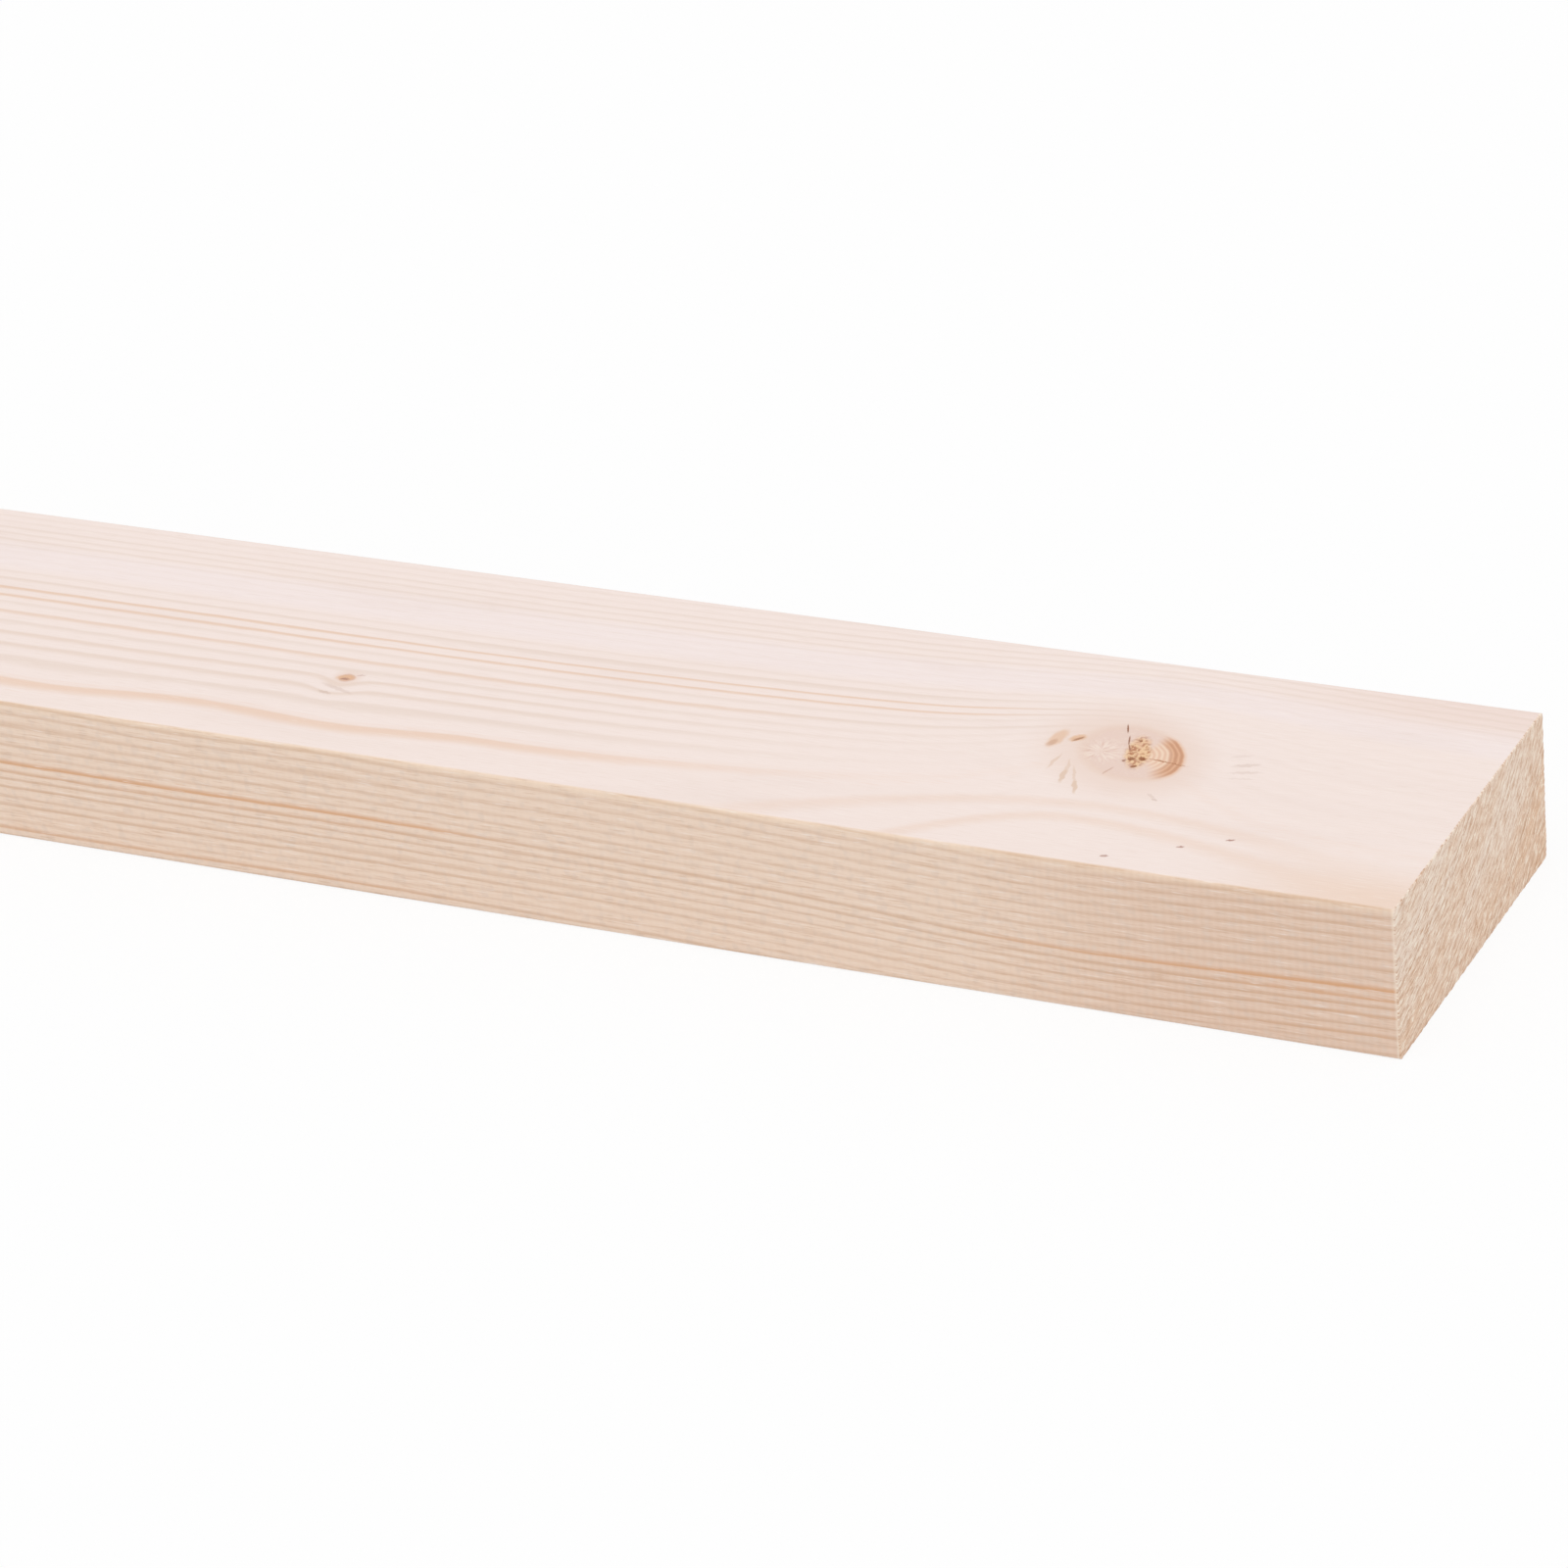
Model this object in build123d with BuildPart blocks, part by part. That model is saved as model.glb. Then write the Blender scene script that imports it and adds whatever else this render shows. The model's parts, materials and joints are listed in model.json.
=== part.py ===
from build123d import *
import os

# A planed softwood plank lying flat, in millimetres.
# The origin is under the middle of the plank, on the floor it rests on.
# +X runs along the grain, +Y across the width and +Z up through the thickness.

# Driving dimensions
plank_length = 1200.0  # stock length between the two crosscut ends
plank_width = 90.0  # planed width of the wide faces
plank_thickness = 35.0  # planed thickness, which is the height of the narrow edges
arris_radius = 0.8  # easing that the planer leaves on each of the four long corners

os.makedirs("parts", exist_ok=True)

with BuildPart() as plank:
    # The section stands across the grain, with its lower side on the floor.
    with BuildSketch(Plane.YZ) as section:
        with Locations((0, plank_thickness / 2)):
            Rectangle(plank_width, plank_thickness)
        fillet(section.vertices(), radius=arris_radius)
    # The saw cuts both ends square, and their corners keep the sharp edge that it leaves.
    extrude(amount=plank_length / 2, both=True)

plank.part.label = "plank"
export_step(plank.part, "parts/plank.step")
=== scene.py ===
import json
import math

import bpy
import numpy as np
from mathutils import Matrix, Vector

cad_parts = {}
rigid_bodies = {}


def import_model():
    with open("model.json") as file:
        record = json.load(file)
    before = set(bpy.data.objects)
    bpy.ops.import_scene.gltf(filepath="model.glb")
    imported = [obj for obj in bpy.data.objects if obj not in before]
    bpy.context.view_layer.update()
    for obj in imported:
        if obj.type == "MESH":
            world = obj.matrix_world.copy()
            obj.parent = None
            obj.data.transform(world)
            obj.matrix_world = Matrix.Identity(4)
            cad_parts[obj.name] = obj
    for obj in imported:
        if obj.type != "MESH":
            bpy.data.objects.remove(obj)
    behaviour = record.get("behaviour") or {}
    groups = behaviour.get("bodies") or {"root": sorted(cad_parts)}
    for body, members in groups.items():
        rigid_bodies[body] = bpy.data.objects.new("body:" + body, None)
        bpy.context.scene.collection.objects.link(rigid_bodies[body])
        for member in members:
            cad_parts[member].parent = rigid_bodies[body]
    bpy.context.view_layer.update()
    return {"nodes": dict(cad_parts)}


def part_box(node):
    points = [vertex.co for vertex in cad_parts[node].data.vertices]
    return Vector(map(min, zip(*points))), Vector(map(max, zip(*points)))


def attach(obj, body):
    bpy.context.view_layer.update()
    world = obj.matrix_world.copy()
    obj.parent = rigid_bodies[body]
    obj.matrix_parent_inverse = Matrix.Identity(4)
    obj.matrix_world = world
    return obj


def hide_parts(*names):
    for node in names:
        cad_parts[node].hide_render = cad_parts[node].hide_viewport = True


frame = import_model()
print("frame loaded:", ", ".join(frame["nodes"]))

# Everything about the plank is in millimetres. A place along the grain is "back", the distance
# back from the near sawn end, and a place across the width is "over", from the front (-) to the
# back edge (+).
mm = 0.001
lowCorner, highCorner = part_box("plank")
nearEnd = highCorner[0] / mm  # the sawn ends are this far along X on both sides
halfWidth = (highCorner[1] - lowCorner[1]) / 2 / mm
thickness = (highCorner[2] - lowCorner[2]) / mm


# One shader socket, for writing shader maths as plain expressions: every operation on it adds one
# Math node, and the vector operations below add one Vector Math node.
class Wire:
    def __init__(self, tree, socket=None):
        self.tree = tree
        self.socket = socket

    # Any node, by its type, its settings (set first), and the values or links of its sockets.
    def node(self, kind, settings=None, sockets=None, out=0):
        made = self.tree.nodes.new("ShaderNode" + kind)
        for name, value in (settings or {}).items():
            if name == "stops":
                self.setStops(made.color_ramp, value)
            else:
                setattr(made, name, value)
        for name, value in (sockets or {}).items():
            if isinstance(value, Wire):
                self.tree.links.new(value.socket, made.inputs[name])
            else:
                made.inputs[name].default_value = value
        if isinstance(out, tuple):
            return [Wire(self.tree, made.outputs[each]) for each in out]
        return Wire(self.tree, made.outputs[out]) if len(made.outputs) else None

    # Stops of a ramp that holds each shade until the next stop.
    def setStops(self, ramp, stops):
        ramp.interpolation = "CONSTANT"
        while len(ramp.elements) < len(stops):
            ramp.elements.new(1.0)
        for element, (place, shade) in zip(ramp.elements, stops):
            element.position = place
            element.color = (shade, shade, shade, 1)

    def maths(self, operation, *values, clamp=False):
        settings = {"operation": operation, "use_clamp": clamp}
        return self.node("Math", settings, dict(enumerate(values)))

    def __add__(self, other):
        return self.maths("ADD", self, other)

    __radd__ = __add__

    def __sub__(self, other):
        return self.maths("SUBTRACT", self, other)

    def __rsub__(self, other):
        return self.maths("SUBTRACT", other, self)

    def __mul__(self, other):
        return self.maths("MULTIPLY", self, other)

    __rmul__ = __mul__

    def __truediv__(self, other):
        return self.maths("DIVIDE", self, other)

    def __rtruediv__(self, other):
        return self.maths("DIVIDE", other, self)

    def __pow__(self, other):
        return self.maths("POWER", self, other)

    def __rpow__(self, other):
        return self.maths("POWER", other, self)

    def __abs__(self):
        return self.maths("ABSOLUTE", self)

    def most(self, other):
        return self.maths("MAXIMUM", self, other)

    def least(self, other):
        return self.maths("MINIMUM", self, other)

    def floor(self):
        return self.maths("FLOOR", self)

    def sine(self):
        return self.maths("SINE", self)

    # Smooth step from 0 at one value to 1 at another, which may be the lower one.
    def step(self, start, end):
        settings = {"interpolation_type": "SMOOTHSTEP"}
        return self.node("MapRange", settings, {0: self, 1: start, 2: end, 3: 0.0, 4: 1.0})

    # Bell curve of a squared distance: exp(-squared / width^2).
    def bell(self, width):
        return self.maths("EXPONENT", self * (-1.0 / width ** 2))

    # The colour this far from the first to the second.
    def between(self, first, second):
        return self.node("Mix", {"data_type": "RGBA"}, {0: self, 6: first, 7: second}, out=2)

    # One Vector Math node on this vector.
    def vec(self, operation, *values, out="Vector"):
        return self.node("VectorMath", {"operation": operation}, dict(enumerate((self, *values))), out)

    def squared(self):
        return self.vec("DOT_PRODUCT", self, out="Value")

    def length(self):
        return self.vec("LENGTH", out="Value")

    def distance(self, place):
        return self.vec("DISTANCE", place, out="Value")

    def stretched(self, x, y, z):
        return self.vec("MULTIPLY", (x, y, z))

    def joined(self, x, y, z):
        return self.node("CombineXYZ", None, {0: x, 1: y, 2: z})

    # This vector in an oval's own frame: 1 long at its rim. The oval is centred on a place, reaches
    # half its length each way along a direction turned by some degrees, and half its width across.
    def inOval(self, place, halfLong, halfWide, turn):
        settings = {"vector_type": "TEXTURE"}
        sockets = {"Vector": self, "Location": (*place, 0), "Rotation": (0, 0, math.radians(turn)),
                   "Scale": (halfLong, halfWide, 1)}
        return self.node("Mapping", settings, sockets)

    # Noise on this vector, 0 to 1.
    def noise(self, detail=2.0, roughness=0.5):
        sockets = {"Vector": self, "Scale": 1.0, "Detail": detail, "Roughness": roughness}
        return self.node("TexNoise", None, sockets)


studio = {
    "cameraBack": -366.85,  # the camera stands beyond the near end, so its "back" is negative
    "cameraOver": -973.46,
    "cameraUp": 591.47,
    "turn": 28.41,  # degrees to the left of straight across the plank
    "dip": 27.44,  # degrees below level
    "roll": 5.64,
    "lens": 130.41,
    "skyLight": 0.74,
    "sunLight": 0.87,
    "sunSoftness": 50,  # degrees of sky that the sun covers
    "sunFrom": (0.16, -0.26, 0.95),
    "floorSize": 14.0,
    "floorWhite": 0.94,
    "floorOwnWhite": 0.85,  # share of the floor's white that is its own when it is looked at
}


# Camera at the photograph's place: turned about the vertical, dipped, then rolled about its own axis.
def addCamera():
    data = bpy.data.cameras.new("camera")
    camera = bpy.data.objects.new("camera", data)
    bpy.context.scene.collection.objects.link(camera)
    data.sensor_fit = "HORIZONTAL"
    data.sensor_width = 36.0
    data.lens = studio["lens"]
    data.clip_start = 0.05
    data.clip_end = 60.0
    place = Vector((nearEnd - studio["cameraBack"], studio["cameraOver"], studio["cameraUp"])) * mm
    turned = Matrix.Rotation(math.radians(studio["turn"]), 4, "Z")
    dipped = Matrix.Rotation(math.radians(90 - studio["dip"]), 4, "X")
    rolled = Matrix.Rotation(math.radians(-studio["roll"]), 4, "Z")
    camera.matrix_world = Matrix.Translation(place) @ turned @ dipped @ rolled
    bpy.context.scene.camera = camera


# 1 where the camera, a reflection or glass looks at the surface, and 0 where light is gathered.
def seenDirectly(start):
    outputs = ("Is Camera Ray", "Is Glossy Ray", "Is Transmission Ray")
    camera, glossy, through = start.node("LightPath", out=outputs)
    return camera.maths("ADD", camera + glossy, through, clamp=True)


# White floor: most of its white is its own when it is looked at, so that only a soft shadow stays.
def floorPaint():
    paper = bpy.data.materials.new("floorPaper")
    paper.use_nodes = True
    paper.node_tree.nodes.clear()
    start = Wire(paper.node_tree)
    white = studio["floorWhite"]
    lit = start.node("BsdfDiffuse", None, {"Color": (white, white, white, 1)})
    own = start.node("Emission", None, {"Color": (1, 1, 1, 1), "Strength": 1.0})
    share = seenDirectly(start) * studio["floorOwnWhite"]
    both = start.node("MixShader", None, {0: share, 1: lit, 2: own})
    start.node("OutputMaterial", None, {"Surface": both})
    return paper


# White sky that lights evenly, a broad soft sun, and the floor.
def addStudio():
    scene = bpy.context.scene
    scene.view_settings.view_transform = "Standard"
    world = bpy.data.worlds.new("sky")
    scene.world = world
    world.use_nodes = True
    world.node_tree.nodes.clear()
    start = Wire(world.node_tree)
    strength = seenDirectly(start) * (1.0 - studio["skyLight"]) + studio["skyLight"]
    sky = start.node("Background", None, {"Color": (1, 1, 1, 1), "Strength": strength})
    start.node("OutputWorld", None, {"Surface": sky})

    sunData = bpy.data.lights.new("sun", "SUN")
    sunData.energy = studio["sunLight"]
    sunData.angle = math.radians(studio["sunSoftness"])
    sun = bpy.data.objects.new("sun", sunData)
    sun.rotation_mode = "QUATERNION"
    sun.rotation_quaternion = Vector(studio["sunFrom"]).to_track_quat("Z", "Y")
    scene.collection.objects.link(sun)

    half = studio["floorSize"] / 2
    floorData = bpy.data.meshes.new("floor")
    corners = [(-half, -half, 0), (half, -half, 0), (half, half, 0), (-half, half, 0)]
    floorData.from_pydata(corners, [], [(0, 1, 2, 3)])
    floor = bpy.data.objects.new("floor", floorData)
    scene.collection.objects.link(floor)
    floorData.materials.append(floorPaint())


plank = {
    "node": "plank",
    "slot": "planed_softwood",
    "arris": 0.8,  # radius of the eased long corners
    "acrossTop": 112,  # mesh columns over the upper wide face
    "acrossBottom": 64,
    "upEdge": 24,
    "perCorner": 4,
    "stations": 262,  # mesh rows along the grain
    "finerAcross": (2.3, 14.0),  # more columns over the large knot: how many times more, and how broadly
    "finerAlong": (20.0, 17.0),  # more rows at its cracks
    "crackMiddle": 3.0,  # these lie this far behind its centre
    "finerSmall": (9.0, 1.7),  # more rows at a small knot, over this many radii
    "sawnPitch": 0.52,  # mesh pitch on the sawn ends
    "sawnDepth": 0.17,  # how deep the saw tears the ends
    "frayDepth": 0.22,
    "frayReach": 1.6,  # how far the tearing runs along the planed faces
    "frayRows": 4,
    "crackDepth": 1.1,  # depth of a crack or pit, in shares of its half width
    "crumbDepth": 0.4,  # depth of the large knot's rough heart
    "sharpFrom": 40,  # degrees between two faces from which their edge is sharp
}

# Where the texture map holds the planed body and the two sawn ends, all between 0 and 1.
textureMap = {
    "margin": 0.004,
    "bodyLong": 0.864,
    "bodyRound": 0.992,
    "endMiddle": 0.94,
    "endThick": 0.112,
    "endWide": 0.484,
}

# The two sawn ends: which way along X they face, the seed of their tearing, and where their strip of
# the texture map starts.
sawnEnds = (
    {"side": 1, "seed": 21, "mapStart": 0.508},
    {"side": -1, "seed": 31, "mapStart": 0.008},
)


# Places from one value to another whose gaps follow a density: the running sum of the density over
# the stretch is cut into equal parts. The density is 1, plus gain * exp(-((place - middle) / width)^4)
# for each bell.
def spread(start, end, parts, bells=()):
    fine = np.linspace(start, end, 6001)
    density = np.ones_like(fine)
    for middle, gain, width in bells:
        density = density + gain * np.exp(-((fine - middle) / width) ** 4)
    total = np.concatenate(([0.0], np.cumsum((density[1:] + density[:-1]) / 2)))
    return np.interp(np.linspace(0.0, total[-1], parts + 1), total, fine)


# Section of the plank as a loop that starts at its back lower corner and runs round the bottom, the
# front edge, the top and the back edge. Each corner is an arc of the arris radius, begun and ended
# at its middle. Gives the points, their outward directions and the distance run up to each point,
# with the first point repeated at the end.
def sectionLoop(bottom, edge, top):
    radius = plank["arris"]
    right, roof = halfWidth - radius, thickness - radius
    centres = np.array([(right, radius), (-right, radius), (-right, roof), (right, roof)])
    sides = (np.stack([-bottom, np.zeros_like(bottom)], 1),
             np.stack([np.full_like(edge, -halfWidth), edge], 1),
             np.stack([top, np.full_like(top, thickness)], 1),
             np.stack([np.full_like(edge, halfWidth), thickness - edge], 1))
    quarter = np.linspace(0, math.pi / 2, plank["perCorner"] + 1)
    half = plank["perCorner"] // 2
    points, outwards = [], []
    for turn, side in enumerate(sides):
        before = -turn * math.pi / 2 - quarter[half:-1]
        flat = np.full(len(side), -(turn + 1) * math.pi / 2)
        after = -(turn + 1) * math.pi / 2 - quarter[1:half]
        facing = [np.stack([np.cos(angles), np.sin(angles)], 1) for angles in (before, flat, after)]
        points += [centres[turn] + radius * facing[0], side,
                   centres[(turn + 1) % 4] + radius * facing[2]]
        outwards += facing
    points, outwards = np.concatenate(points), np.concatenate(outwards)
    points, outwards = np.append(points, points[:1], 0), np.append(outwards, outwards[:1], 0)
    run = np.concatenate(([0.0], np.cumsum(np.hypot(*np.diff(points, axis=0).T))))
    return points, outwards, run


# Sum of sine waves of about one wavelength in chance directions and phases, mostly within -1 and 1.
def ripple(u, v, wavelength, seed, waves=20):
    draw = np.random.default_rng(seed)
    angle, phase = draw.uniform(0, 2 * math.pi, (2, waves, 1))
    length = wavelength * draw.uniform(0.7, 1.4, (waves, 1))
    shape = np.shape(u)
    across = np.cos(angle) * np.ravel(u) + np.sin(angle) * np.ravel(v)
    return np.sin(2 * math.pi * across / length + phase).sum(0).reshape(shape) / math.sqrt(waves)


# How deep the saw has torn a sawn end at a point of it: coarse and fine ripples drawn out along the
# growth rings, plus chance grain, kept between 0 and the full depth.
def sawnRelief(over, up, seed):
    radius = np.hypot(over - rings["heartOver"], up - rings["heartUp"])
    arc = np.arctan2(over - rings["heartOver"], rings["heartUp"] - up) * radius
    grain = np.random.default_rng(seed).uniform(-1, 1, over.shape)
    coarse = ripple(radius, arc * 0.14, 1.5, seed)
    fine = ripple(radius, arc * 0.3, 0.9, seed + 1)
    return plank["sawnDepth"] * np.clip(0.4 + 0.22 * coarse + 0.16 * fine + 0.16 * grain, 0, 1)


# How far the end's tearing eats into a planed face: coarse and fine chance notches around the section
# that die out with the square of the distance from the end.
def frayRelief(run, fromEnd, seed):
    notch = ripple(run, 0 * run, 3.1, seed) + 0.7 * ripple(run, 0 * run, 1.2, seed + 1)
    reach = np.clip(1 - fromEnd / plank["frayReach"], 0, 1) ** 2
    return plank["frayDepth"] * np.clip(0.3 + 0.5 * notch, 0, 1) * reach


# Depth of the cracks and pits on the upper face: each is a bell across an oval, about as deep as half
# its width, and the deepest one at a point counts. The crumbly heart of the large knot is rough.
def crackRelief(back, over):
    depth = np.zeros_like(back)
    for _, halfWide, (backA, overA), (backB, overB) in marks["crack"]:
        long = math.hypot(backB - backA, overB - overA)
        alongBack, alongOver = (backB - backA) / long, (overB - overA) / long
        offBack, offOver = back - (backA + backB) / 2, over - (overA + overB) / 2
        lengthwise = (offBack * alongBack + offOver * alongOver) / (long / 2)
        sideways = (offBack * alongOver - offOver * alongBack) / halfWide
        deepest = plank["crackDepth"] * halfWide
        depth = np.maximum(depth, deepest * np.exp(-lengthwise ** 4 - sideways ** 2))
    heartBack, heartOver = mainKnot["crumblePlace"]
    fromHeart = np.hypot((back - heartBack) / mainKnot["crumbleWide"],
                         (over - heartOver) / mainKnot["crumbleLong"])
    rough = np.clip(0.35 + 0.5 * ripple(back, over, 2.0, 5), 0, 1)
    return np.maximum(depth, plank["crumbDepth"] * rough * np.clip(1.3 - fromHeart, 0, 1))


# Faces between the rows of a grid: one four-sided face between each two rows and two columns.
def gridFaces(grid):
    corners = (grid[:-1, :-1], grid[1:, :-1], grid[1:, 1:], grid[:-1, 1:])
    return np.stack(corners, -1).reshape(-1, 4)


# Triangles between two rows of unlike count: the places of both rows are sorted together, and each
# step to the next place on either row closes one triangle.
def zipFaces(lower, upper, runLower, runUpper):
    places = np.concatenate([runLower[1:] / runLower[-1], runUpper[1:] / runUpper[-1]])
    onLower = np.argsort(places, kind="stable") < len(runLower) - 1
    atLower = np.cumsum(onLower) - onLower
    atUpper = np.cumsum(~onLower) - ~onLower
    third = np.where(onLower, lower[np.minimum(atLower + 1, len(lower) - 1)],
                     upper[np.minimum(atUpper + 1, len(upper) - 1)])
    return np.stack([lower[atLower], upper[atUpper], third], 1)


# Patch blended from the four sides of a loop (a Coons patch): the blend of its lower and upper side,
# plus the blend of its back and front side, less the blend of its four corners.
def blendPatch(lower, upper, back, front):
    s = np.linspace(0, 1, len(lower))[None, :, None]
    t = np.linspace(0, 1, len(back))[:, None, None]
    sides = (1 - t) * lower[None] + t * upper[None] + (1 - s) * back[:, None] + s * front[:, None]
    nearBack = (1 - t) * lower[0] + t * upper[0]
    nearFront = (1 - t) * lower[-1] + t * upper[-1]
    return sides - (1 - s) * nearBack - s * nearFront


# Gathers a mesh from sheets. Each spot of a sheet has a vertex and its own place on the texture map,
# so that a vertex on a seam can have two.
class Sheets:
    def __init__(self):
        self.vertices = []
        self.vertexOf = []
        self.mapPlaces = []
        self.faces = []
        self.vertexCount = 0
        self.spotCount = 0

    def addVertices(self, vertices):
        self.vertices.append(vertices.reshape(-1, 3))
        first = self.vertexCount
        self.vertexCount += vertices.size // 3
        return np.arange(first, self.vertexCount)

    # The same for a row or rows that close on themselves: the last column is the first once more.
    def addLoops(self, vertices):
        ids = self.addVertices(vertices[:, :-1]).reshape(len(vertices), -1)
        return np.append(ids, ids[:, :1], 1)

    def addSpots(self, vertexOf, across, upwards):
        across, upwards = np.broadcast_arrays(across, upwards)
        self.vertexOf.append(vertexOf.ravel())
        self.mapPlaces.append(np.stack([across.ravel(), upwards.ravel()], 1))
        first = self.spotCount
        self.spotCount += vertexOf.size
        return np.arange(first, self.spotCount).reshape(vertexOf.shape)

    # Mesh whose faces' corners carry the map places.
    def mesh(self, name):
        vertexOf, mapPlaces = np.concatenate(self.vertexOf), np.concatenate(self.mapPlaces)
        mesh = bpy.data.meshes.new(name)
        faces = [face for faces in self.faces for face in vertexOf[faces].tolist()]
        mesh.from_pydata(np.concatenate(self.vertices) * mm, [], faces)
        layer = mesh.uv_layers.new(name="OFBake")
        corners = np.concatenate([mapPlaces[faces].reshape(-1, 2) for faces in self.faces])
        layer.data.foreach_set("uv", corners.ravel())
        return mesh


# Stations along the grain, closer together at the knots, and the share of the texture map's length at
# each of them and at both ends: half of it follows the place, and half the count of stations.
def alongGrain():
    reach = nearEnd - plank["frayReach"]
    gain, radii = plank["finerSmall"]
    bells = [(nearEnd - knot["back"], gain, radii * knot["radius"]) for knot in smallKnots.values()]
    bells.append((nearEnd - mainKnot["back"] - plank["crackMiddle"], *plank["finerAlong"]))
    stations = spread(-reach, reach, plank["stations"], bells)
    places = np.concatenate(([-nearEnd], stations, [nearEnd]))
    shares = (places / nearEnd + 1) / 4 + np.linspace(0, 0.5, len(places))
    return stations, places, shares


# The plank as one closed surface on a grid of stations along the grain and columns around the
# section. Near each sawn end the columns get finer, and the end itself is a patch blended from its
# four sides. All relief goes inwards, so the plank keeps its size.
def plankMesh():
    lowest, highest = plank["arris"], thickness - plank["arris"]
    flat = halfWidth - plank["arris"]
    top = spread(-flat, flat, plank["acrossTop"], [(mainKnot["over"], *plank["finerAcross"])])
    bottom = spread(-flat, flat, plank["acrossBottom"])
    points, outwards, run = sectionLoop(bottom, spread(lowest, highest, plank["upEdge"]), top)
    acrossParts = round(2 * flat / plank["sawnPitch"])
    upParts = round((highest - lowest) / plank["sawnPitch"])
    endAcross, endEdge = spread(-flat, flat, acrossParts), spread(lowest, highest, upParts)
    endPoints, endOutwards, endRun = sectionLoop(endAcross, endEdge, endAcross)
    stations, mapPlaces, mapShares = alongGrain()

    def mapAcross(places):
        return textureMap["margin"] + textureMap["bodyLong"] * np.interp(places, mapPlaces, mapShares)

    def mapUpwards(around):
        return textureMap["margin"] + textureMap["bodyRound"] * around / around[-1]

    sheets = Sheets()
    along, over = np.meshgrid(stations, points[:, 0], indexing="ij")
    up = np.broadcast_to(points[:, 1], along.shape)
    depth = np.where(outwards[:, 1] > 0.99, crackRelief(nearEnd - along, over), 0)  # upper face only
    body = np.stack([along, over - depth * outwards[:, 0], up - depth * outwards[:, 1]], -1)
    spots = sheets.addSpots(sheets.addLoops(body), mapAcross(stations)[:, None], mapUpwards(run))
    sheets.faces.append(gridFaces(spots))
    print("plank body:", len(stations), "stations of", len(points) - 1, "columns")

    sideAcross, sideUp = plank["perCorner"] + acrossParts, plank["perCorner"] + upParts
    turns = np.cumsum([sideAcross, sideUp, sideAcross])
    lower, front = slice(0, turns[0] + 1), slice(turns[0], turns[1] + 1)
    upper, back = slice(turns[1], turns[2] + 1), slice(turns[2], None)
    fromEnd = np.linspace(plank["frayReach"], 0, plank["frayRows"] + 1)[1:, None]
    for end in sawnEnds:
        side, seed = end["side"], end["seed"]
        rim = endPoints - frayRelief(endRun, fromEnd, seed)[:, :, None] * endOutwards
        sawn = sawnRelief(rim[-1, :, 0], rim[-1, :, 1], seed)
        rim[:, -1], sawn[-1] = rim[:, 0], sawn[0]
        inset = fromEnd + np.zeros(len(endRun))
        inset[-1] = sawn
        rows = np.concatenate([(side * (nearEnd - inset))[:, :, None], rim], 2)
        rowIds = sheets.addLoops(rows)
        rowSpots = sheets.addSpots(rowIds, mapAcross(side * (nearEnd - fromEnd)), mapUpwards(endRun))
        zipped = zipFaces(spots[-1], rowSpots[0], run, endRun)
        sheets.faces += [gridFaces(rowSpots)[:, ::side], zipped if side > 0 else zipped[:, ::-1]]

        ids, rimPoints = rowIds[-1], rows[-1]
        patch = blendPatch(rimPoints[lower], rimPoints[upper][::-1], rimPoints[back][::-1],
                           rimPoints[front])
        inner = patch[1:-1, 1:-1]
        inner[:, :, 0] = side * (nearEnd - sawnRelief(inner[:, :, 1], inner[:, :, 2], seed + 5))
        capIds = np.zeros(patch.shape[:2], int)
        capIds[1:-1, 1:-1] = sheets.addVertices(inner).reshape(inner.shape[:2])
        capIds[0], capIds[-1] = ids[lower], ids[upper][::-1]
        capIds[:, 0], capIds[:, -1] = ids[back][::-1], ids[front]
        mapUp = end["mapStart"] + textureMap["endWide"] * (patch[:, :, 1] / halfWidth + 1) / 2
        mapOver = textureMap["endMiddle"] - side * textureMap["endThick"] * (patch[:, :, 2] / thickness - 0.5)
        capSpots = sheets.addSpots(capIds, mapOver, mapUp)
        sheets.faces.append(gridFaces(capSpots)[:, ::side])
        spots = spots[::-1]  # the other end joins the first station
    return sheets.mesh("plank")


# Adds the plank to the scene, smooth over its grid and sharp at its sawn ends and cracks.
def addPlank(finish):
    mesh = plankMesh()
    mesh.materials.append(finish)
    mesh.shade_smooth()
    mesh.set_sharp_from_angle(angle=math.radians(plank["sharpFrom"]))
    timber = bpy.data.objects.new("timber", mesh)
    bpy.context.scene.collection.objects.link(timber)
    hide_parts(plank["node"])
    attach(timber, "root")
    print("plank mesh:", len(mesh.vertices), "vertices,", len(mesh.polygons), "faces")


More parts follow.
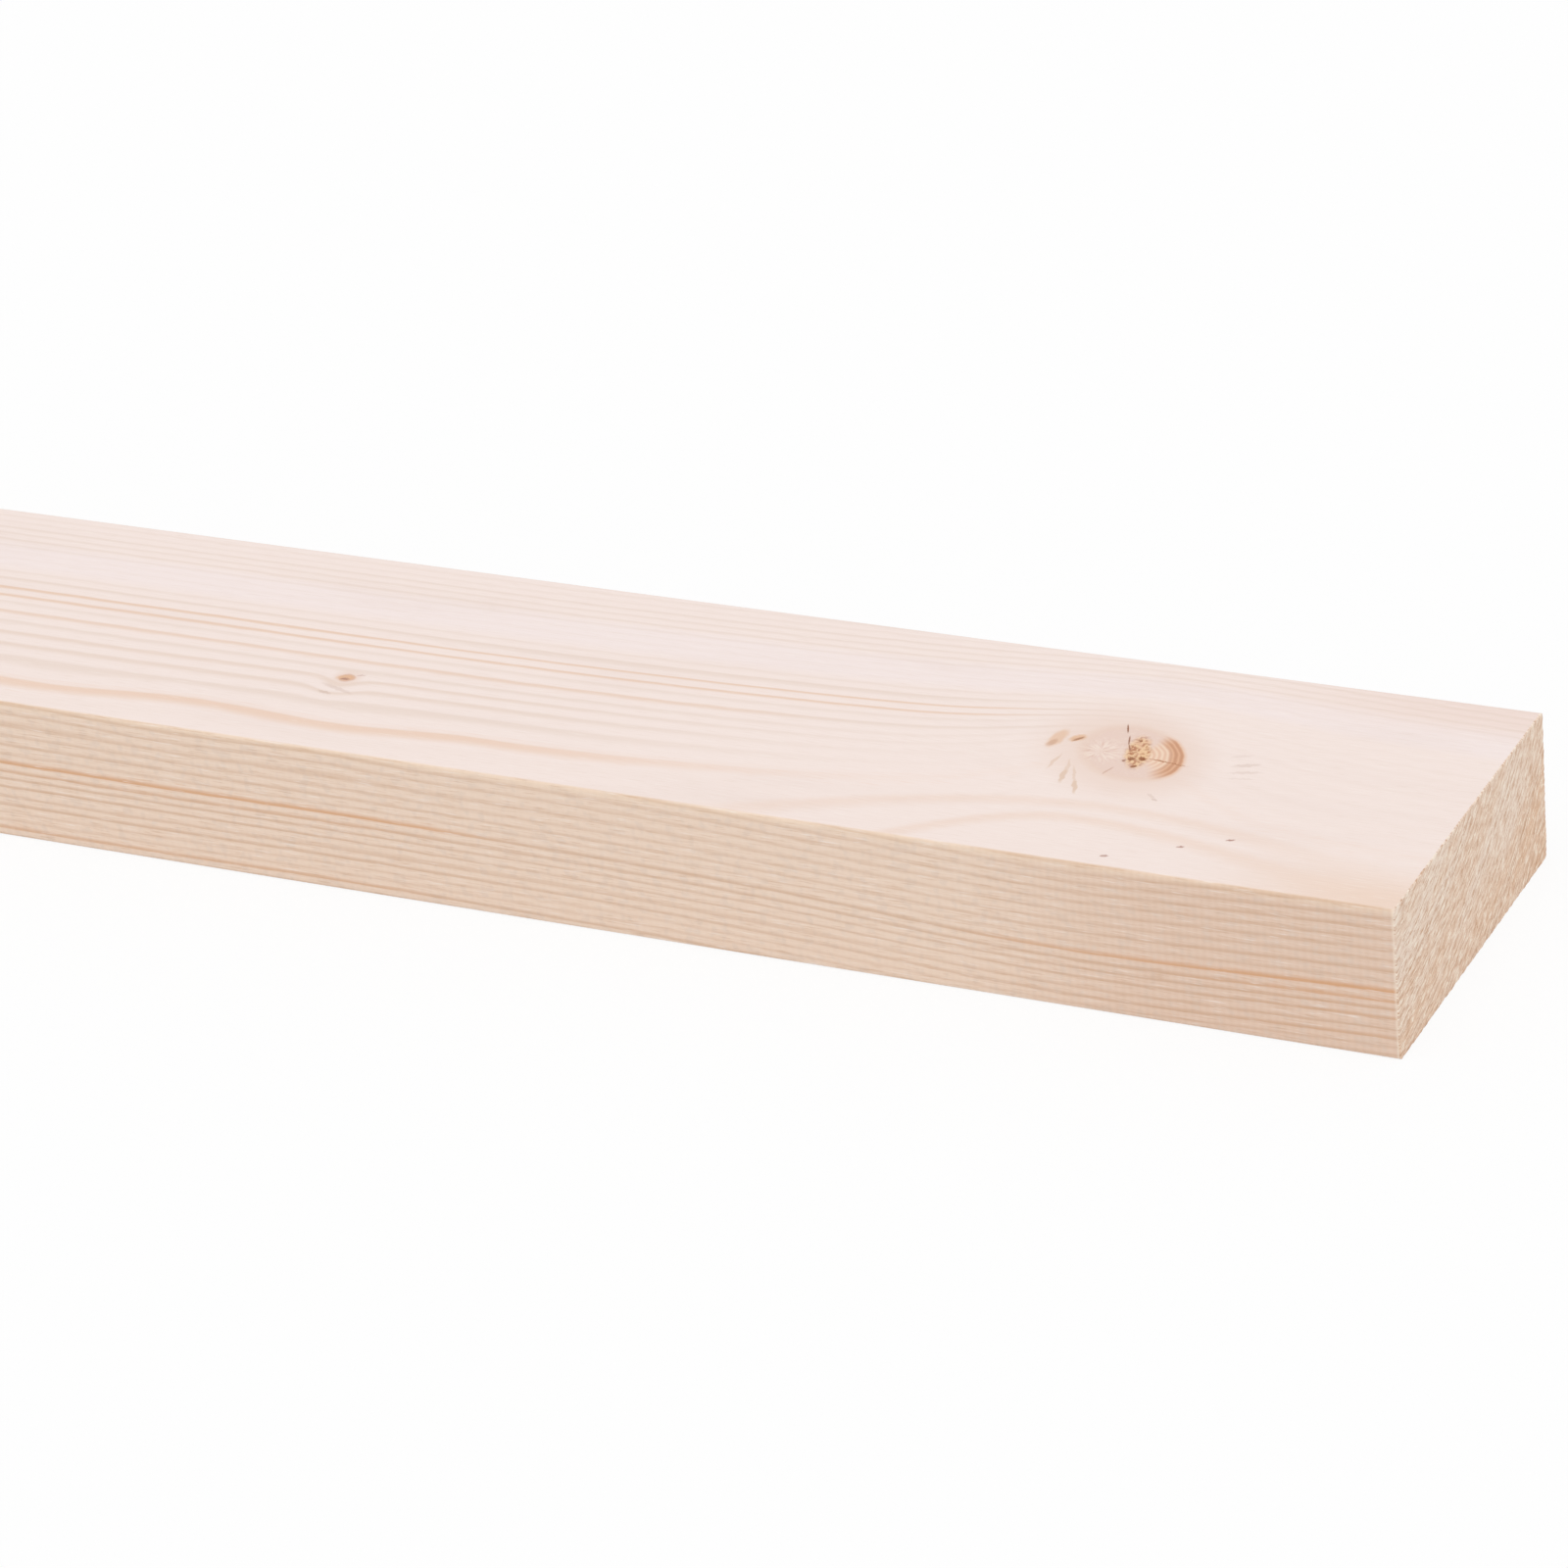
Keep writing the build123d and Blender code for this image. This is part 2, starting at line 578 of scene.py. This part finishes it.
# Colours as they look on a screen, 0 to 255.
colours = {
    "wideEarly": (243, 227, 220),
    "widePlain": (243, 229, 226),
    "wideLate": (219, 196, 178),
    "wideOrange": (229, 190, 159),
    "wideGrey": (232, 214, 206),
    "nearFront": (237, 211, 193),
    "nearBack": (238, 217, 208),
    "narrowEarly": (240, 217, 198),
    "narrowLate": (196, 150, 109),
    "narrowOrange": (211, 150, 94),
    "narrowNear": (231, 203, 183),
    "narrowGrey": (222, 203, 189),
    "narrowTop": (242, 217, 190),
    "sawnPale": (250, 237, 220),
    "sawnTan": (238, 218, 201),
    "sawnDark": (203, 163, 132),
    "sawnBand": (229, 194, 165),
    "paleFleck": (250, 240, 233),
    "knotPale": (231, 205, 193),
    "knotCream": (240, 220, 207),
    "knotRim": (231, 203, 182),
    "knotFan": (228, 182, 149),
    "knotFanPale": (243, 214, 186),
    "knotLight": (221, 172, 137),
    "knotDark": (202, 147, 113),
    "crumbPale": (237, 199, 154),
    "crumbDark": (176, 108, 62),
    "crack": (142, 82, 44),
    "crackPale": (178, 118, 76),
    "halo": (233, 208, 194),
    "smallPale": (226, 184, 158),
    "smallDark": (198, 148, 120),
    "orangeMark": (224, 178, 138),
    "feather": (212, 176, 142),
    "greyMark": (200, 172, 156),
    "speck": (172, 124, 108),
}

# The planed surface.
planed = {
    "fibres": (0.14, 2.8, 2.8),  # how closely the fibres follow each other along, across and upwards
    "pores": (400, 2600, 2600),  # the same for the pores, to the metre
    "poreDepth": 0.03,
    "roughness": 0.58,
    "sawnRougher": 0.25,
    "chatter": 1.7,  # from one mark of the planer to the next, on the narrow edges
    "darkFibres": 0.24,
    "paleFibres": 0.50,
    "narrowRougher": 0.16,  # how much more the narrow edges show of both
}

# Growth rings, counted outwards from the centre of the trunk, which lies outside the plank.
rings = {
    "heartOver": -75.0,  # the trunk's centre: in front of the plank and above it
    "heartUp": 155.0,
    "first": 121.34,  # radius of the first ring that the plank holds
    "width": 2.13,
    "drift": 1.0,  # how far rings stray from even ones, over a long wave
    "driftMiddle": 129.0,  # radius where that wave starts
    "driftHalfWave": 30,
    "climb": 2.6,  # how far they move outwards towards the near end
    "climbFrom": 350,  # from this far back
    "hump": 2.6,  # and once more beside the large knot
    "humpMiddle": 78.0,
    "humpWide": 66.0,
    "unseen": 7.0,  # how far they wander beyond the part that the photograph shows
    "unseenFrom": (380, 560),
    "peak": 0.76,  # where in a ring its line is darkest
    "softRise": (0.42, 0.76),  # where in a ring a soft line starts and is full
    "softFall": (0.97, 0.83),  # where it has ended, and where it starts to
    "sharpRise": (0.46, 0.74),  # the same for a sharp line
    "sharpFall": (0.90, 0.78),
    "broad": 3.0,  # the ring with a broad orange line
    "rampLength": 32,  # more rings than the two lists below hold
    "lastKnown": 20.5,  # between the last ring of the two lists and the next one
    "unknownWide": 0.4,  # how dark a ring beyond them may be on the wide faces
    "plainStart": (149.5, 152.5),  # radii between which the wide faces are plain
    "plainEnd": (160, 157),
}

# How dark each ring's line is, from the first ring outwards, on the wide faces and on the narrow
# edges. Rings beyond these get their darkness by chance.
ringDarkness = {
    "wide": (0.03, 0.03, 0.03, 0.55, 0.34, 0.42, 0.44, 0.32, 0.55, 0.24, 0.70, 0.74, 0.38,
             0.18, 0.02, 0.06, 0.05, 0.18, 0.28, 0.24, 0.28),
    "narrow": (0.28, 0.30, 0.33, 0.28, 0.28, 0.25, 0.34, 0.22, 0.69, 0.50, 0.42, 0.44, 0.32,
               0.44, 0.20, 0.22, 0.52, 0.30, 0.36, 0.26, 0.26),
}

# Where the real rings leave even spacing: how far some of them lie further inwards, and for which
# radii and distances back that holds. Each pair is where it starts and is full.
strays = {
    "inner": 0.5,  # the innermost ones, far back
    "innerRadii": (130.5, 128.2),
    "innerBack": (120, 200),
    "sway": 0.4,  # the same ones sway to and fro along the grain
    "swayBack": (190, 260),
    "swayMiddle": 270.0,
    "swayWave": 80,
    "single": 0.45,  # one ring in the middle, between two pairs of radii
    "singleFrom": (144.2, 145.1),
    "singleTo": (147.2, 146.2),
    "beside": 0.4,  # the ring inside that one
    "besideRadius": 143.3,
    "outer": 0.65,  # all the outer ones, between two pairs of distances
    "outerRadii": (133, 137),
    "outerFrom": (70, 140),
    "outerTo": (310, 220),
}

# How the lines weaken towards the near end. Each pair of distances is where it starts and is full.
fading = {
    "wideBack": (85, 176),  # the wide faces' lines come in between these, away from the end
    "wideOver": (-12.0, 9.0),  # from the first place over to the second, both come nearer
    "wideSlant": (2.2, 2.4),  # for each millimetre, the start by the first and the full by both
    "wideLeast": 0.08,  # share of a line that always stays
    "edgeOver": (24, 30),  # towards the back edge at least this share stays
    "edgeShare": 0.8,
    "narrowBack": (245, 195),  # the narrow edges' strong lines weaken between these, towards the end
    "narrowLoss": (0.32, 0.54),  # by these, up to the first distance and from the second on
    "lossBack": (78, 108),
    "gain": 0.30,  # and all of them gain over the last stretch
    "gainBack": (80, 10),
}

# Knots go down through the whole thickness, away from the centre of the trunk, and swell the rings.
knotLean = 0.656  # how far a knot moves over for each millimetre down
knots = {
    "main": {"back": 77.0, "over": -5.0, "swell": 8.5, "reach": 27.3},
    "pin": {"back": 261.0, "over": -17.0, "swell": -1.5, "reach": 5.5},
    "second": {"back": 468.0, "over": 21.0, "swell": 2.4, "reach": 11.0},
    "third": {"back": 742.0, "over": -19.0, "swell": 3.4, "reach": 15.0},
    "fourth": {"back": 985.0, "over": 8.0, "swell": 1.9, "reach": 9.0},
}
smallKnots = {
    "pin": {"back": 261.0, "over": -12.5, "radius": 1.8},
    "second": {"back": 468.0, "over": 21.0, "radius": 4.2},
    "third": {"back": 742.0, "over": -19.0, "radius": 5.8},
    "fourth": {"back": 985.0, "over": 8.0, "radius": 3.1},
}
mainKnot = {
    "back": 75.3,  # centre of its rings
    "over": 3.0,
    "halfLong": 14.4,  # its oval outline
    "halfWide": 11.0,
    "tilt": 40.0,  # degrees that the oval's long way is turned from the grain
    "offCentre": (0.11, -0.12, 0),  # how far the rings' centre lies off the outline's
    "browner": (-0.985, 0.17, 0),  # the side with the orange-brown crescent
    "ringPhase": 54.0,  # radians that the wave of its rings runs through from their centre to the rim
    "rayCentre": (83.7, 2.2, 0),  # where its fine rays start
    "rayReach": (7.5, 2.0),  # how far from there they have ended, and where they start to
    "crumblePlace": (75.9, 3.8),  # the crumbly golden heart
    "crumbleLong": 7.2,
    "crumbleWide": 2.7,
    "crumbleTurn": 75.0,
}

# Soft arches in front of the large knot: the crest, then how far each side falls and how broadly.
arches = (
    {"back": 72.0, "over": -21.0, "behind": (50.0, 100.0), "ahead": (15.5, 60.0), "shade": 0.24},
    {"back": 77.0, "over": -27.2, "behind": (58.0, 60.0), "ahead": (18.5, 60.0), "shade": 0.27},
)

# Small marks on the upper face, by colour: strength, half width, and the two ends of each.
marks = {
    "orangeMark": (
        (0.60, 1.9, (94.7, 10.0), (95.5, 0.2)),
        (0.75, 1.6, (92.4, 4.4), (89.4, 8.4)),
        (0.75, 1.6, (263.9, -13.0), (258.5, -12.0)),
    ),
    "feather": (
        (0.40, 0.50, (91.3, -0.6), (92.0, -9.0)),
        (0.34, 0.45, (88.8, -2.6), (87.2, -10.0)),
        (0.56, 0.70, (87.9, -7.0), (86.6, -14.0)),
        (0.34, 0.45, (87.0, -5.2), (83.2, -13.4)),
        (0.56, 0.70, (84.4, -10.8), (81.6, -17.6)),
    ),
    "greyMark": (
        (0.20, 0.60, (56.6, 7.2), (51.4, 9.2)),
        (0.36, 0.85, (54.8, 3.2), (48.4, 5.8)),
        (0.28, 0.60, (54.8, 0.0), (46.4, 2.8)),
        (0.20, 0.50, (53.6, -2.0), (47.4, -0.8)),
        (0.30, 0.45, (67.0, -12.6), (64.2, -15.0)),
        (0.50, 0.60, (65.0, -14.6), (63.6, -15.5)),
        (0.34, 0.80, (266.0, -16.0), (255.0, -19.6)),
        (0.45, 0.70, (264.6, -19.6), (260.4, -20.8)),
    ),
    "speck": (
        (0.85, 0.45, (52.3, -33.0), (50.5, -32.4)),
        (0.90, 0.50, (43.6, -27.4), (41.4, -26.8)),
        (0.75, 0.45, (65.8, -41.1), (64.0, -40.5)),
        (0.90, 0.62, (262.6, -13.5), (259.8, -12.9)),
        (0.40, 0.50, (259.4, -10.9), (257.2, -10.2)),
    ),
    "crackPale": (
        (0.40, 0.36, (79.3, -7.8), (78.4, -3.6)),
        (0.35, 0.90, (95.2, 4.8), (95.8, 1.0)),
        (0.95, 0.26, (74.4, 2.0), (62.6, 0.5)),
    ),
    "crack": (
        (0.60, 0.42, (91.9, 4.9), (89.8, 7.6)),
        (0.95, 0.22, (83.2, 15.6), (81.4, 11.2)),
        (0.85, 0.22, (80.7, 10.8), (79.2, 6.2)),
        (0.80, 0.22, (79.4, 7.0), (77.8, 3.8)),
        (0.85, 0.70, (77.3, 0.9), (75.7, 1.3)),
        (0.90, 0.75, (75.1, 2.2), (73.3, 1.2)),
        (0.85, 0.55, (75.4, -2.6), (73.9, -1.6)),
        (0.70, 0.45, (78.1, -0.4), (77.1, -0.2)),
        (0.70, 0.40, (78.2, 9.3), (77.0, 8.7)),
    ),
}


# Colour for a shader socket from one as it looks on a screen: the screen's curve undone.
def paint(name):
    shades = np.array(colours[name]) / 255
    linear = np.where(shades > 0.04045, ((shades + 0.055) / 1.055) ** 2.4, shades / 12.92)
    return (*linear.tolist(), 1.0)


# Where a point lies in the plank, in the ways that the layers of the wood need.
class Spot:
    def __init__(self, start):
        self.place = start.node("TexCoord", out="Object").stretched(1 / mm, 1 / mm, 1 / mm)
        self.x, self.over, self.up = start.node("SeparateXYZ", None, {0: self.place}, out=(0, 1, 2))
        self.back = nearEnd - self.x
        deep = thickness - self.up
        self.plan = start.joined(self.back, self.over - deep * knotLean, 0.0)  # seen along the knots
        self.narrow = abs(self.over).step(halfWidth - 0.7, halfWidth - 0.2)  # 1 on the narrow edges
        self.sawn = abs(self.x).step(nearEnd - 0.5, nearEnd - 0.3)  # 1 on the sawn ends
        self.upper = deep.step(3.0, 0.9)  # 1 on the upper face
        heart = self.place.vec("SUBTRACT", (0, rings["heartOver"], rings["heartUp"]))
        self.radius = heart.stretched(0, 1, 1).length()
        toOver, toUp = start.node("SeparateXYZ", None, {0: heart}, out=(1, 2))
        self.arc = self.radius * start.maths("ARCTAN2", toOver, toUp * -1.0)  # run along a ring
        self.wobble = self.place.stretched(0.45, 0.45, 0.45).noise(1.0) - 0.5
        self.crumbs = self.place.stretched(1.3, 1.3, 1.3).noise(1.0) - 0.5
        shaken = start.joined(self.wobble * 1.3, self.crumbs * 1.1, 0.0)
        self.bent = self.plan.vec("ADD", shaken)  # the same as plan, with unsteady outlines

    # Chance sway of a size, drawn out along the grain.
    def sway(self, long, wide, size):
        return (self.place.stretched(1 / long, 1 / wide, 1 / wide).noise(1.0) - 0.5) * size


# Darkness of each ring by its number, from a ramp that holds one shade for each ring.
def ringShades(number, face):
    length = rings["rampLength"]
    stops = [(each / length, shade) for each, shade in enumerate(ringDarkness[face])]
    return number.node("ValToRGB", {"stops": stops}, {0: number / length + 0.5 / length})


# The radius to count rings by, where some of them lie further inwards: each amount is added to it over
# its own radii and distances back.
def strayRings(spot, pushed):
    wave = ((spot.back - strays["swayMiddle"]) * (math.tau / strays["swayWave"])).sine()
    sway = wave * spot.back.step(*strays["swayBack"]) * strays["sway"]
    inner = spot.back.step(*strays["innerBack"]) * strays["inner"] - sway
    pushed = pushed + inner * pushed.step(*strays["innerRadii"])
    single = pushed.step(*strays["singleFrom"]) * pushed.step(*strays["singleTo"])
    pushed = pushed + single * strays["single"]
    beside = pushed - strays["besideRadius"]
    pushed = pushed + (beside * beside).bell(1.0) * strays["beside"]
    outer = spot.back.step(*strays["outerTo"]) * spot.back.step(*strays["outerFrom"])
    return pushed + outer * pushed.step(*strays["outerRadii"]) * strays["outer"]


# How dark a ring's line is on the wide faces and on the narrow edges. The wide ones fade towards the
# near end, further from it at the front and little at the back edge. The narrow ones lose a share of
# their square, so that the strong ones lose most, and gain a share of themselves close to the end.
def lineStrengths(spot, number):
    known = number.step(rings["lastKnown"] + 0.1, rings["lastKnown"] - 0.1)
    chance = number.node("TexWhiteNoise", {"noise_dimensions": "1D"}, {"W": number})
    wide = known * ringShades(number, "wide") + (1 - known) * chance * rings["unknownWide"]
    narrow = known * ringShades(number, "narrow") + (1 - known) * chance

    (start, full), (startSlant, fullSlant) = fading["wideBack"], fading["wideSlant"]
    front, behind = fading["wideOver"]
    nearer = spot.over.most(front).least(behind)
    fade = (spot.back + nearer * startSlant).step(start, full - nearer * fullSlant)
    fade = fade.most(spot.over.step(*fading["edgeOver"]) * fading["edgeShare"])
    wide = wide * (fade * (1 - fading["wideLeast"]) + fading["wideLeast"])

    nearLoss, farLoss = fading["narrowLoss"]
    loss = spot.back.step(*fading["lossBack"]) * (farLoss - nearLoss) + nearLoss
    narrow = narrow - narrow * narrow * spot.back.step(*fading["narrowBack"]) * loss
    narrow = narrow + narrow * spot.back.step(*fading["gainBack"]) * fading["gain"]
    return wide, narrow


# Growth rings. They move outwards towards the near end and round the knots, and both ways by chance
# waves, because the radius is changed by as much before it is counted in ring widths. Within a ring
# the wood darkens outwards to a line, which is soft where the face lies along the ring and sharp on
# the narrow edges and sawn ends. Strong lines and the broad one are orange. Gives the line's darkness,
# that of the slow darkening before it, how orange the line is, and the radius that was counted.
def growthRings(spot):
    wander = (spot.place.stretched(1 / 170, 0, 0).noise(0.0) - 0.5) * spot.back.step(*rings["unseenFrom"])
    beside = spot.back - rings["humpMiddle"]
    hump = (beside * beside).bell(rings["humpWide"]) * rings["hump"]
    pushed = spot.radius + spot.sway(90, 30, 0.8) + spot.sway(12, 4, 0.3) + wander * rings["unseen"]
    pushed = pushed - spot.back.step(rings["climbFrom"], 0) * rings["climb"] - hump
    for knot in knots.values():
        aside = spot.plan.vec("SUBTRACT", (knot["back"], knot["over"], 0)).squared()
        pushed = pushed.maths("MULTIPLY_ADD", aside.bell(knot["reach"]), -knot["swell"], pushed)
    pushed = strayRings(spot, pushed)
    drift = ((pushed - rings["driftMiddle"]) * (math.pi / rings["driftHalfWave"])).sine() * rings["drift"]
    count = (pushed - drift - rings["first"]) / rings["width"] + rings["peak"]
    number = count.floor()
    phase = count - number
    wide, narrow = lineStrengths(spot, number)

    broad = number.maths("COMPARE", number, rings["broad"], 0.5)
    moved = phase + broad * 0.15
    start, full = rings["softRise"]
    softLine = moved.step(start - broad * 0.20, full - broad * 0.06) * moved.step(*rings["softFall"])
    start, full = rings["sharpRise"]  # a dark one starts earlier
    sharpLine = phase.step(start - narrow * 0.42, full) * phase.step(*rings["sharpFall"])
    wideLine = softLine * wide
    cut = spot.narrow.most(spot.sawn)
    line = wideLine + (sharpLine * narrow - wideLine) * cut
    darkening = phase.step(0.05, 0.9) * ((wide + (narrow - wide) * cut) * 0.12 + 0.02)
    wideOrange = broad.most(wide.step(0.34, 0.62) * 0.75)
    orange = wideOrange + (narrow.step(0.42, 0.60) - wideOrange) * cut
    return line, darkening, orange, pushed


# 1 inside any of several slim ovals, each between two places, times its own strength.
def ovalMask(plan, ovals):
    mask = None
    for strength, halfWide, (backA, overA), (backB, overB) in ovals:
        halfLong = math.hypot(backB - backA, overB - overA) / 2
        turn = math.degrees(math.atan2(overB - overA, backB - backA))
        middle = ((backA + backB) / 2, (overA + overB) / 2)
        inside = plan.inOval(middle, halfLong, halfWide, turn).length().step(1.1, 0.5) * strength
        mask = inside if mask is None else mask.most(inside)
    return mask


# 1 along an arch whose crest falls off to both sides like a bell curve, fading over a few millimetres.
def archMask(spot, arch):
    aside = spot.back - arch["back"]
    behind = aside.step(-1, 1)
    (fallBehind, broadBehind), (fallAhead, broadAhead) = arch["behind"], arch["ahead"]
    fall = behind * (fallBehind - fallAhead) + fallAhead
    broad = behind * (broadBehind - broadAhead) + broadAhead
    bell = (aside * aside / (broad * broad)).bell(1.0)
    crest = arch["over"] - fall * (1 - bell) + spot.wobble * 1.0
    off = (spot.over - crest) / (2.4 - bell * 1.4)  # broader towards its feet
    crestwise = off.step(-3.6, 0.2) * off.step(2.6, 0.2)
    return crestwise * spot.back.step(0, 50) * spot.back.step(170, 140)


# Small sound knots: rings round their own centres, darker at the rim, in a faint halo. Of all the
# knots, the one that is nearest in shares of its radius counts.
def smallKnotPaint(spot, colour):
    share = None
    for knot in smallKnots.values():
        each = spot.plan.distance((knot["back"], knot["over"], 0)) / knot["radius"]
        share = each if share is None else share.least(each)
    share = share + spot.wobble * 0.6
    turns = ((share * 14.0).sine() * 0.5 + 0.5) * 0.4 + share.step(0.2, 1.0) * 0.5
    own = turns.between(paint("smallPale"), paint("smallDark"))
    colour = (share.step(2.6, 0.9) * 0.6).between(colour, paint("halo"))
    return (share.step(1.25, 0.75) * 0.75).between(colour, own)


# The large knot: rings round a centre of its own inside a tilted oval, pale with fine rays on the far
# side, pale arcs and then an orange-brown crescent on the near side. A share of 1 is its rim.
def largeKnotPaint(spot, colour):
    place = (mainKnot["back"], mainKnot["over"])
    away = spot.plan.vec("SUBTRACT", (*place, 0))
    oval = spot.plan.inOval(place, mainKnot["halfLong"], mainKnot["halfWide"], mainKnot["tilt"])
    length = oval.length()
    shift = oval.vec("DOT_PRODUCT", mainKnot["offCentre"], out="Value")
    share = length * length / (length + shift) + spot.wobble * 0.04
    arcs = (share * mainKnot["ringPhase"]).sine() * 0.5 + 0.5

    rays = spot.plan.vec("SUBTRACT", mainKnot["rayCentre"]).vec("NORMALIZE").stretched(3.4, 3.4, 0)
    rays = rays.vec("ADD", spot.plan.stretched(0.3, 0.3, 0)).noise(2.0, 0.6)
    star = spot.plan.distance(mainKnot["rayCentre"]).step(*mainKnot["rayReach"])
    mottle = rays.step(0.47, 0.57) * star + spot.crumbs.step(0.05, 0.22) * 0.3
    pale = mottle.between(paint("knotPale"), paint("knotCream"))
    pale = (rays.step(0.43, 0.33) * star * 0.35).between(pale, paint("knotDark"))
    pale = (arcs * 0.10 + share.step(0.72, 1.0) * 0.5).between(pale, paint("knotRim"))

    browner = away.vec("NORMALIZE").vec("DOT_PRODUCT", mainKnot["browner"], out="Value").step(0.30, 0.80)
    fan = arcs.between(paint("knotFan"), paint("knotFanPale"))
    brown = (arcs ** 1.6).between(paint("knotDark"), paint("knotLight"))
    own = (browner * 0.75).between(pale, fan)
    crescent = browner * share.step(0.58, 0.74) * share.step(1.02, 0.93)
    own = crescent.between(own, brown)
    colour = (share.step(1.95, 0.9) * 0.62).between(colour, paint("halo"))
    return share.step(1.06, browner * 0.12 + 0.80).between(colour, own)


# The crumbly heart of the large knot, and the marks, cracks and pits in and around it.
def markPaint(spot, colour):
    heart = spot.bent.inOval(mainKnot["crumblePlace"], mainKnot["crumbleLong"],
                             mainKnot["crumbleWide"], mainKnot["crumbleTurn"])
    golden = spot.crumbs.step(-0.15, 0.08).between(paint("crumbDark"), paint("crumbPale"))
    golden = (spot.wobble.step(0.0, 0.16) * 0.5).between(golden, paint("knotFan"))
    colour = (heart.length().step(1.25, 0.70) * spot.upper * 0.9).between(colour, golden)
    for name, ovals in marks.items():
        plan = spot.plan if name == "crack" else spot.bent  # cracks lie exactly in their relief
        colour = (ovalMask(plan, ovals) * spot.upper).between(colour, paint(name))
    return colour


# Colour of the sawn ends: tan fibres torn out along the rings, between cream flecks and dark
# reddish streaks, darker along each ring's line and in broad bands.
def sawnPaint(spot, line):
    torn = spot.place.joined(spot.radius * 1.9, spot.arc * 0.30, spot.x * 0.3).noise(3.0, 0.72)
    bands = spot.place.joined(spot.radius * 0.16, spot.arc * 0.02, 0.0).noise(0.0).step(0.40, 0.70)
    corner = spot.up.step(20, 4) * 0.4 + spot.over.step(22, 40) * 0.4
    colour = (bands * 0.5 + corner).between(paint("sawnTan"), paint("sawnBand"))
    colour = (line * (torn.step(0.66, 0.40) + 0.35)).between(colour, paint("sawnDark"))
    colour = (torn.step(0.47, 0.38) * 0.90).between(colour, paint("sawnDark"))
    return (torn.step(0.53, 0.60) * 0.90).between(colour, paint("sawnPale"))


# Wide faces between the lines: plainer in a broad band, greyer in chance clouds, warmer at both near
# corners, with the arches in front of the large knot.
def widePaint(spot, pushed):
    plain = pushed.step(*rings["plainStart"]) * pushed.step(*rings["plainEnd"])
    colour = (plain * 0.8).between(paint("wideEarly"), paint("widePlain"))
    cloud = spot.place.stretched(1 / 60, 1 / 12, 1 / 12).noise(1.0).step(0.5, 0.8)
    colour = (cloud * 0.3).between(colour, paint("wideGrey"))
    frontCorner = spot.back.step(50, 4) * spot.over.step(-24, -42)
    colour = (frontCorner * 0.9).between(colour, paint("nearFront"))
    backCorner = spot.back.step(75, 10) * spot.over.step(26, 40)
    colour = (backCorner * 0.8).between(colour, paint("nearBack"))
    for arch in arches:
        shade = archMask(spot, arch) * spot.upper * arch["shade"]
        colour = shade.between(colour, paint("wideOrange"))
    return colour


# Narrow edges between the lines: darker near the end, with grey blotches, and lighter along the top.
def narrowPaint(spot):
    colour = (spot.back.step(105, 45) * 0.85).between(paint("narrowEarly"), paint("narrowNear"))
    colour = (spot.wobble.step(0.0, 0.2) * 0.35).between(colour, paint("narrowGrey"))
    return (spot.up.step(32.6, 34.6) * 0.4).between(colour, paint("narrowTop"))


# Fibres over all of it, dark and pale, and on the narrow edges the planer's faint marks and a pale lip by the
# sawn end, which is partly its frayed fibres and partly a painted highlight along that corner.
def fibrePaint(spot, fibre, colour, late):
    rougher = spot.narrow * planed["narrowRougher"]
    chatter = (spot.x * (math.tau / planed["chatter"])).sine() * 0.5 + 0.5
    chatter = chatter * rougher * (spot.back.step(110, 60) * 0.25 + 0.15)
    dark = fibre.step(0.48, 0.25) * (planed["darkFibres"] + rougher)
    colour = (dark + chatter).between(colour, late)
    pale = fibre.step(0.56, 0.78) * (planed["paleFibres"] + rougher)
    colour = pale.between(colour, paint("paleFleck"))
    # Pale lip on the narrow edges by the sawn end: frayed fibres, plus a painted highlight along that corner.
    paleLipAndHighlight = spot.narrow * spot.back.step(1.1, 0.3)
    return (paleLipAndHighlight * 0.5).between(colour, paint("sawnPale"))


# Planed softwood, worked out from where a point lies in the trunk of the tree.
def softwood():
    wood = bpy.data.materials.new("planedSoftwood")
    wood.use_nodes = True
    wood.node_tree.nodes.clear()
    start = Wire(wood.node_tree)
    spot = Spot(start)
    line, darkening, orange, pushed = growthRings(spot)
    fibre = spot.place.stretched(*planed["fibres"]).noise(2.0, 0.6)

    wideLate = orange.between(paint("wideLate"), paint("wideOrange"))
    narrowLate = orange.between(paint("narrowLate"), paint("narrowOrange"))
    late = spot.narrow.between(wideLate, narrowLate)
    early = spot.narrow.between(widePaint(spot, pushed), narrowPaint(spot))
    colour = darkening.between(early, late)
    colour = (line * (fibre * 0.6 + 0.7)).between(colour, late)
    colour = fibrePaint(spot, fibre, colour, late)
    colour = smallKnotPaint(spot, colour)
    colour = largeKnotPaint(spot, colour)
    colour = markPaint(spot, colour)
    colour = spot.sawn.between(colour, sawnPaint(spot, line))

    pores = start.node("TexCoord", out="Object").stretched(*planed["pores"]).noise(0.0)
    depth = planed["poreDepth"] * mm
    bump = start.node("Bump", None, {"Strength": 1.0, "Distance": depth, "Height": pores})
    roughness = spot.sawn * planed["sawnRougher"] + planed["roughness"]
    sockets = {"Base Color": colour, "Roughness": roughness, "Normal": bump}
    shader = start.node("BsdfPrincipled", None, sockets)
    start.node("OutputMaterial", None, {"Surface": shader})
    print("softwood:", len(wood.node_tree.nodes), "nodes")
    return wood


print("settings read")
addCamera()
addStudio()
print("studio ready")
addPlank(softwood())
